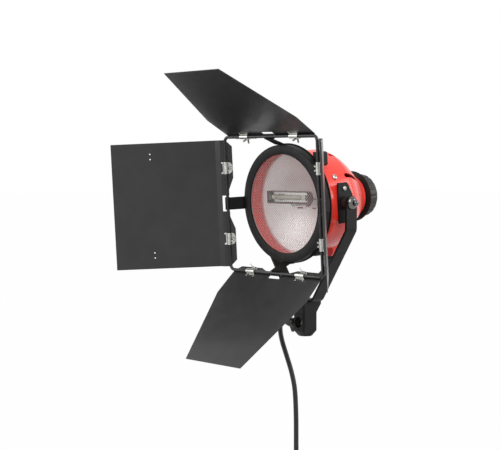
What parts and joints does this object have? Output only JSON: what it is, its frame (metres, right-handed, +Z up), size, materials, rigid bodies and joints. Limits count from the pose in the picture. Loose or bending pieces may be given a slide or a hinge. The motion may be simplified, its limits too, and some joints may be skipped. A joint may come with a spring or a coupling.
{
  "type": "open-face stage light",
  "caption": "Open-face lamp head with dished reflector, wire guard and rotating four-leaf barn door, tilting in a bent yoke on a stand socket, with rear focus knob and mains cord.",
  "frame": {"origin": "centre of the stand socket's lower face, where the stand's spigot enters", "axes": "+Z up along the stand's spigot, -Y the way the light shines, +X towards the yoke arm with the domed nut; at rest the lamp's optical axis is in the YZ plane and points 3.5 degrees below -Y"},
  "size_m": [0.4865, 0.3651, 0.7989],
  "materials": {
    "black_paint": "black powder coat, semi-gloss",
    "red_paint": "red gloss paint",
    "black_plastic": "matt black heat-proof plastic",
    "rubber": "black rubber",
    "zinc": "bright zinc plate",
    "chrome": "polished",
    "aluminium": "pebbled bright sheet",
    "guard_wire": "fine bright wire",
    "quartz": "clear quartz tube",
    "ceramic": "dark ceramic",
    "galvanised": "galvanised sheet"
  },
  "bodies": {
    "base": {"stand_socket": "black_paint", "yoke": "black_paint", "yoke_bolt": "zinc", "pivot_bolt_right": "chrome", "pivot_stud_left": "zinc", "mains_cord": "rubber", "cord_coil": "rubber", "cord_tie": "rubber", "mains_plug": "rubber"},
    "clamp_pad": {"clamp_pad": "zinc"},
    "clamp_screw": {"clamp_knob": "black_plastic"},
    "lock_washer": {"lock_washer": "zinc"},
    "lock_knob": {"tilt_lock_knob": "black_plastic"},
    "head": {"housing_shell": "red_paint", "rear_cover": "red_paint", "reflector": "aluminium", "wire_guard": "guard_wire", "pivot_plate_right": "black_paint", "pivot_plate_left": "black_paint", "pivot_spacer_right": "black_plastic", "pivot_spacer_left": "black_plastic", "accessory_holder_1": "black_paint", "accessory_holder_2": "black_paint", "accessory_holder_3": "black_paint", "accessory_holder_4": "black_paint", "housing_screw_right": "zinc", "housing_screw_left": "zinc", "plate_screw_right": "zinc", "plate_screw_left": "zinc", "terminal_box": "red_paint", "cable_gland": "rubber", "heat_shield": "black_paint", "carriage_bridge": "galvanised"},
    "focus": {"focus_knob": "black_plastic", "focus_spindle": "zinc"},
    "lamp_carriage": {"lamp_carriage": "galvanised", "lamp_tray": "aluminium", "lamp": "quartz", "lamp_holder_left": "ceramic", "lamp_holder_right": "ceramic"},
    "barn_door": {"ring_half_left": "black_paint", "ring_half_right": "black_paint", "strap_top": "black_paint", "strap_right": "black_paint", "strap_bottom": "black_paint", "strap_left": "black_paint", "rod_frame": "black_paint"},
    "leaf_left": {"leaf_left": "black_paint", "clip_left_1": "zinc", "clip_left_2": "zinc"},
    "leaf_right": {"leaf_right": "black_paint", "clip_right_1": "zinc", "clip_right_2": "zinc"},
    "leaf_top": {"leaf_top": "black_paint", "clip_top_1": "zinc", "clip_top_2": "zinc"},
    "leaf_bottom": {"leaf_bottom": "black_paint", "clip_bottom_1": "zinc", "clip_bottom_2": "zinc"}
  },
  "joints": [
    {"name": "head_tilt", "type": "hinge", "parent": "base", "child": "head", "pos_m": [0, 0, 0.213], "axis": [-1, 0, 0], "range_deg": [-9, 90], "deforming": ["mains_cord"]},
    {"name": "tilt_lock_slide", "type": "slide", "parent": "base", "child": "lock_washer", "axis": [-1, 0, 0], "range_m": [0, 0.0026]},
    {"name": "tilt_lock_turn", "type": "hinge", "parent": "lock_washer", "child": "lock_knob", "pos_m": [-0.112, 0, 0.213], "axis": [-1, 0, 0], "range_deg": [0, 720]},
    {"name": "clamp_slide", "type": "slide", "parent": "base", "child": "clamp_pad", "axis": [-1, 0, 0], "range_m": [-0.0013, 0.0026]},
    {"name": "clamp_turn", "type": "hinge", "parent": "clamp_pad", "child": "clamp_screw", "pos_m": [-0.03, 0, 0.0185], "axis": [-1, 0, 0], "range_deg": [-360, 720]},
    {"name": "focus_turn", "type": "hinge", "parent": "head", "child": "focus", "pos_m": [0, 0.11928, 0.22029], "axis": [0, 0.9981, 0.061], "range_deg": [0, 270]},
    {"name": "lamp_focus", "type": "slide", "parent": "head", "child": "lamp_carriage", "axis": [0, 0.9981, 0.061], "range_m": [0, 0.0162]},
    {"name": "barn_door_rotation", "type": "hinge", "parent": "head", "child": "barn_door", "pos_m": [0, -0.04841, 0.21004], "axis": [0, 0.9981, 0.061], "continuous": true},
    {"name": "leaf_left_hinge", "type": "hinge", "parent": "barn_door", "child": "leaf_left", "pos_m": [-0.1062, -0.07077, 0.20867], "axis": [0, -0.061, 0.9981], "range_deg": [-45.5, 132.5]},
    {"name": "leaf_right_hinge", "type": "hinge", "parent": "barn_door", "child": "leaf_right", "pos_m": [0.1062, -0.07077, 0.20867], "axis": [0, 0.061, -0.9981], "range_deg": [-45, 117]},
    {"name": "leaf_top_hinge", "type": "hinge", "parent": "barn_door", "child": "leaf_top", "pos_m": [0, -0.07725, 0.31467], "axis": [-1, 0, 0], "range_deg": [-117.6, 56.4]},
    {"name": "leaf_bottom_hinge", "type": "hinge", "parent": "barn_door", "child": "leaf_bottom", "pos_m": [0, -0.06428, 0.10267], "axis": [1, 0, 0], "range_deg": [-98.6, 49.4]}
  ],
  "couplings": [
    {"joint": "lamp_focus", "follows": "focus_turn", "m_per_rad": 0.0033953},
    {"joint": "tilt_lock_slide", "follows": "tilt_lock_turn", "m_per_rad": 0.00019894},
    {"joint": "clamp_slide", "follows": "clamp_turn", "m_per_rad": 0.00019894}
  ]
}
